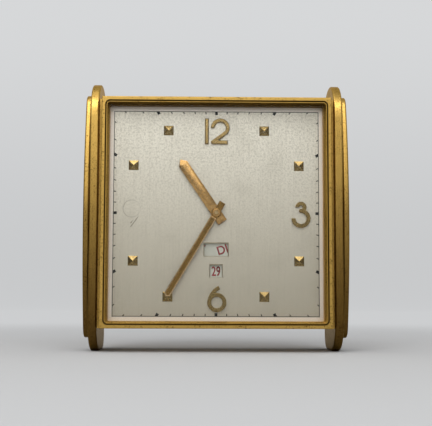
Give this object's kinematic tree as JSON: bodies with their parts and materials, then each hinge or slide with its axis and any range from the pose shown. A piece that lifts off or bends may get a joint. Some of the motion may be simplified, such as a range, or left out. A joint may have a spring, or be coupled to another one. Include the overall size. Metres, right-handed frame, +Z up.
{
  "type": "desk clock",
  "caption": "Square brass desk clock with tall bowed side plates, glazed silvered dial with day and date windows, and a wound geared movement inside.",
  "frame": {"origin": "middle of the footprint on the plane the feet stand on", "axes": "+X to the viewer's right, +Y from the dial towards the back, +Z up"},
  "size_m": [0.0982, 0.044, 0.1014],
  "materials": {
    "frame_brass": "satin, worn lacquer",
    "plate_brass": "satin, worn lacquer",
    "case_brass": "brushed",
    "crystal": "polished",
    "silvered_dial": "warm silver, brushed",
    "gilt_fittings": "polished",
    "calendar_white": "matt white",
    "movement_brass": "brushed",
    "movement_steel": "brushed",
    "spring_steel": "blued",
    "control_brass": "polished",
    "dial_ink": "matt black",
    "calendar_red": "matt red"
  },
  "bodies": {
    "case": {"front_frame": "frame_brass", "glass": "crystal", "glass_retainer": "case_brass", "case_band": "case_brass", "side_plate_screws": "movement_steel", "back_cover": "case_brass", "back_cover_screws": "movement_steel", "left_tall_plate": "plate_brass", "right_tall_plate": "plate_brass", "left_outer_plate": "plate_brass", "right_outer_plate": "plate_brass", "dial": "silvered_dial", "dial_posts": "movement_brass", "numeral_12": "gilt_fittings", "numeral_3": "gilt_fittings", "numeral_6": "gilt_fittings", "hour_markers": "gilt_fittings", "front_plate": "movement_brass", "back_plate": "movement_brass", "movement_pillars": "movement_brass", "movement_screws": "movement_steel", "click_spring": "spring_steel", "hairspring": "spring_steel", "calendar_plate": "movement_brass", "calendar_jumpers": "spring_steel", "date_button_spring": "spring_steel", "day_button_spring": "spring_steel"},
    "barrel": {"barrel_drum": "movement_brass", "barrel_lid": "movement_brass", "mainspring": "spring_steel"},
    "winding": {"barrel_arbor": "movement_steel", "ratchet_wheel": "movement_steel", "winding_key": "control_brass"},
    "click": {"click": "movement_steel"},
    "intermediate": {"intermediate_arbor": "movement_steel", "intermediate_wheel": "movement_brass"},
    "centre": {"centre_arbor": "movement_steel", "centre_wheel": "movement_brass", "hand_nut": "gilt_fittings"},
    "third": {"third_arbor": "movement_steel", "third_wheel": "movement_brass"},
    "fourth": {"fourth_wheel": "movement_brass"},
    "escape": {"escape_wheel": "movement_steel"},
    "pallet": {"pallet_lever": "movement_steel"},
    "balance": {"balance_wheel": "movement_brass", "balance_staff": "movement_steel"},
    "regulator": {"regulator": "movement_steel"},
    "minute": {"cannon_pinion": "movement_steel", "minute_hand": "gilt_fittings"},
    "minute_wheel": {"minute_wheel": "movement_brass"},
    "hour": {"hour_wheel": "movement_brass", "hour_hand": "gilt_fittings"},
    "setting_wheel": {"setting_wheel": "movement_brass"},
    "setting": {"setting_arbor": "movement_steel", "setting_knob": "control_brass"},
    "calendar_wheel": {"calendar_wheel": "movement_brass"},
    "date_ring": {"date_ring": "calendar_white"},
    "day_disc": {"day_disc": "calendar_white"},
    "date_button": {"date_button": "control_brass"},
    "day_button": {"day_button": "control_brass"}
  },
  "joints": [
    {"name": "fourth_spin", "type": "hinge", "parent": "case", "child": "fourth", "pos_m": [-0.0151, 0, 0.04947], "axis": [0, 1, 0], "continuous": true},
    {"name": "third_spin", "type": "hinge", "parent": "case", "child": "third", "pos_m": [-0.01103, 0, 0.06066], "axis": [0, 1, 0], "continuous": true},
    {"name": "centre_spin", "type": "hinge", "parent": "case", "child": "centre", "pos_m": [0, 0, 0.0514], "axis": [0, 1, 0], "continuous": true},
    {"name": "intermediate_spin", "type": "hinge", "parent": "case", "child": "intermediate", "pos_m": [0.0142, 0, 0.0552], "axis": [0, 1, 0], "continuous": true},
    {"name": "barrel_spin", "type": "hinge", "parent": "case", "child": "barrel", "pos_m": [0.01502, 0, 0.03632], "axis": [0, 1, 0], "continuous": true},
    {"name": "escape_spin", "type": "hinge", "parent": "case", "child": "escape", "pos_m": [-0.0151, 0, 0.03891], "axis": [0, 1, 0], "continuous": true},
    {"name": "pallet_rock", "type": "hinge", "parent": "case", "child": "pallet", "pos_m": [-0.0119, 0, 0.03337], "axis": [0, 1, 0], "range_deg": [-4, 4]},
    {"name": "balance_swing", "type": "hinge", "parent": "case", "child": "balance", "pos_m": [-0.0074, 0, 0.02558], "axis": [0, 1, 0], "range_deg": [-270, 270], "stiffness_Nm_per_rad": 0.00001},
    {"name": "regulator_turn", "type": "hinge", "parent": "case", "child": "regulator", "pos_m": [-0.0074, 0, 0.02558], "axis": [0, 1, 0], "range_deg": [-20, 20]},
    {"name": "winding_turn", "type": "hinge", "parent": "case", "child": "winding", "pos_m": [0.01502, 0, 0.03632], "axis": [0, 1, 0], "range_deg": [0, 1980]},
    {"name": "click_lift", "type": "hinge", "parent": "case", "child": "click", "pos_m": [0.00654, 0, 0.04122], "axis": [0, -1, 0], "range_deg": [0, 10], "stiffness_Nm_per_rad": 0.0001, "springref_deg": -17.19},
    {"name": "minute_spin", "type": "hinge", "parent": "case", "child": "minute", "pos_m": [0, 0, 0.0514], "axis": [0, 1, 0], "continuous": true},
    {"name": "minute_wheel_spin", "type": "hinge", "parent": "case", "child": "minute_wheel", "pos_m": [0, 0, 0.0574], "axis": [0, 1, 0], "continuous": true},
    {"name": "hour_spin", "type": "hinge", "parent": "case", "child": "hour", "pos_m": [0, 0, 0.0514], "axis": [0, 1, 0], "continuous": true},
    {"name": "setting_wheel_spin", "type": "hinge", "parent": "case", "child": "setting_wheel", "pos_m": [0.00413, 0, 0.06454], "axis": [0, 1, 0], "continuous": true},
    {"name": "setting_spin", "type": "hinge", "parent": "case", "child": "setting", "pos_m": [0.00728, 0, 0.06905], "axis": [0, 1, 0], "continuous": true},
    {"name": "calendar_wheel_spin", "type": "hinge", "parent": "case", "child": "calendar_wheel", "pos_m": [0, 0, 0.0622], "axis": [0, 1, 0], "continuous": true},
    {"name": "date_ring_spin", "type": "hinge", "parent": "case", "child": "date_ring", "pos_m": [0, 0, 0.0514], "axis": [0, 1, 0], "continuous": true},
    {"name": "day_disc_spin", "type": "hinge", "parent": "case", "child": "day_disc", "pos_m": [0, 0, 0.0514], "axis": [0, 1, 0], "continuous": true},
    {"name": "date_button_press", "type": "slide", "parent": "case", "child": "date_button", "axis": [0, -1, 0], "range_m": [0, 0.0012], "stiffness_N_per_m": 400, "deforming": ["date_button_spring"]},
    {"name": "day_button_press", "type": "slide", "parent": "case", "child": "day_button", "axis": [0, -1, 0], "range_m": [0, 0.0012], "stiffness_N_per_m": 400, "deforming": ["day_button_spring"]}
  ],
  "couplings": [
    {"joint": "third_spin", "follows": "fourth_spin", "ratio": -0.13333},
    {"joint": "centre_spin", "follows": "fourth_spin", "ratio": 0.016667},
    {"joint": "intermediate_spin", "follows": "fourth_spin", "ratio": -0.0027778},
    {"joint": "barrel_spin", "follows": "fourth_spin", "ratio": 0.00046296},
    {"joint": "escape_spin", "follows": "fourth_spin", "ratio": -10},
    {"joint": "minute_wheel_spin", "follows": "minute_spin", "ratio": -0.33333},
    {"joint": "hour_spin", "follows": "minute_spin", "ratio": 0.083333},
    {"joint": "setting_wheel_spin", "follows": "minute_spin", "ratio": 0.4},
    {"joint": "setting_spin", "follows": "minute_spin", "ratio": -0.85714},
    {"joint": "calendar_wheel_spin", "follows": "minute_spin", "ratio": -0.041667}
  ]
}
